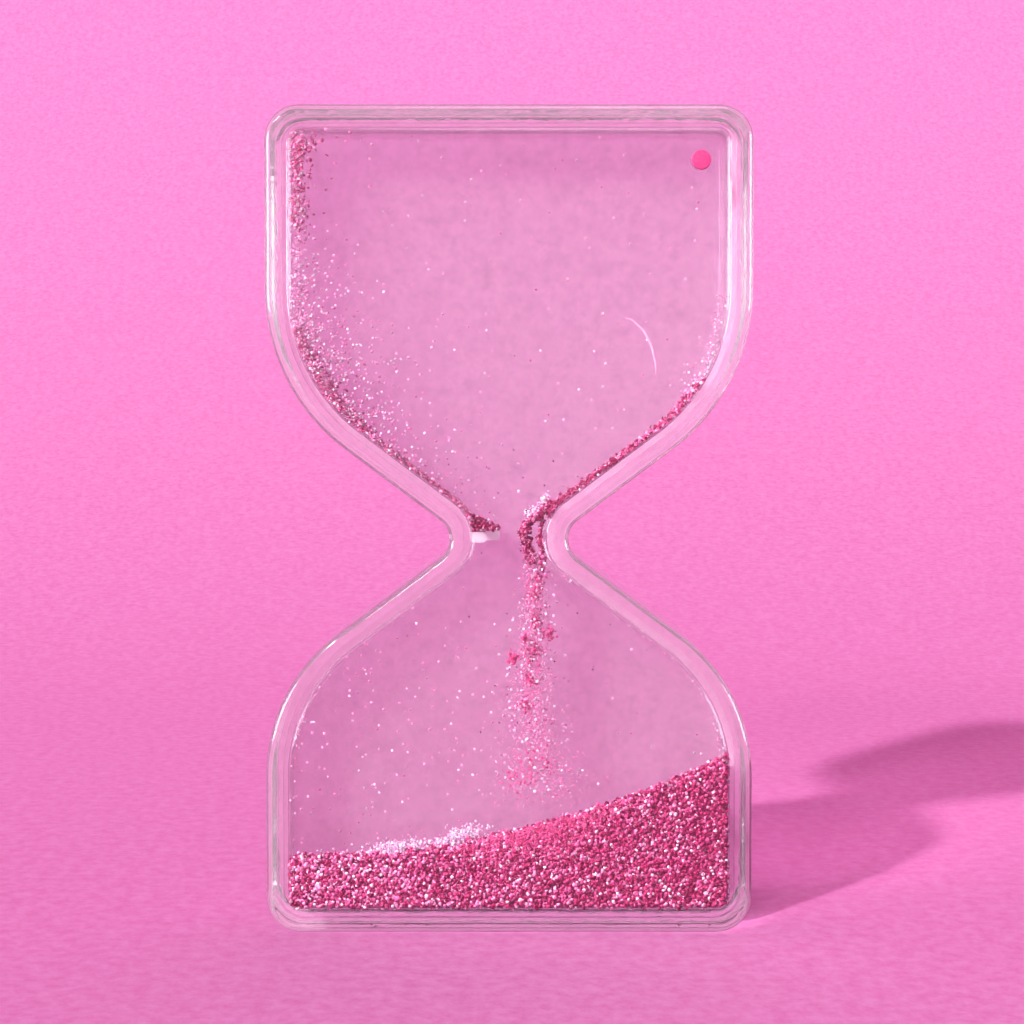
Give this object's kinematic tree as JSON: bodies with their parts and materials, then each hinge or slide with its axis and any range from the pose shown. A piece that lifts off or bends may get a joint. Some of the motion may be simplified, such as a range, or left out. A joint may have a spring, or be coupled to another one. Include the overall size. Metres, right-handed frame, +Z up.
{
  "type": "hourglass liquid timer",
  "caption": "Flat clear liquid timer in the outline of an hourglass: welded half shells with a rib at the neck, a round stopper, clear liquid and pink glitter that runs to the lower bulb.",
  "frame": {"origin": "centre of the face that it stands on, which is the bottom of its box", "axes": "+Z up along its height, X across its width, -Y towards its front, where the stopper is"},
  "size_m": [0.05, 0.014, 0.085],
  "materials": {
    "clear_shell": "clear moulded plastic, polished",
    "pink_stopper": "soft satin",
    "clear_liquid": "clear liquid, faintly pink",
    "pink_glitter": "metallised film flakes",
    "pale_glitter": "iridescent film flakes"
  },
  "bodies": {
    "timer": {"front_shell": "clear_shell", "back_shell": "clear_shell", "clear_liquid": "clear_liquid", "glitter_bed": "pink_glitter", "glitter_stream": "pink_glitter", "left_slope_glitter": "pink_glitter", "right_slope_glitter": "pink_glitter", "rib_glitter": "pink_glitter", "corner_glitter": "pink_glitter", "pale_glitter": "pale_glitter"},
    "stopper": {"fill_plug": "pink_stopper"}
  },
  "joints": [
    {"name": "stopper_pull", "type": "slide", "parent": "timer", "child": "stopper", "axis": [0, -1, 0], "range_m": [0, 0.004]}
  ]
}
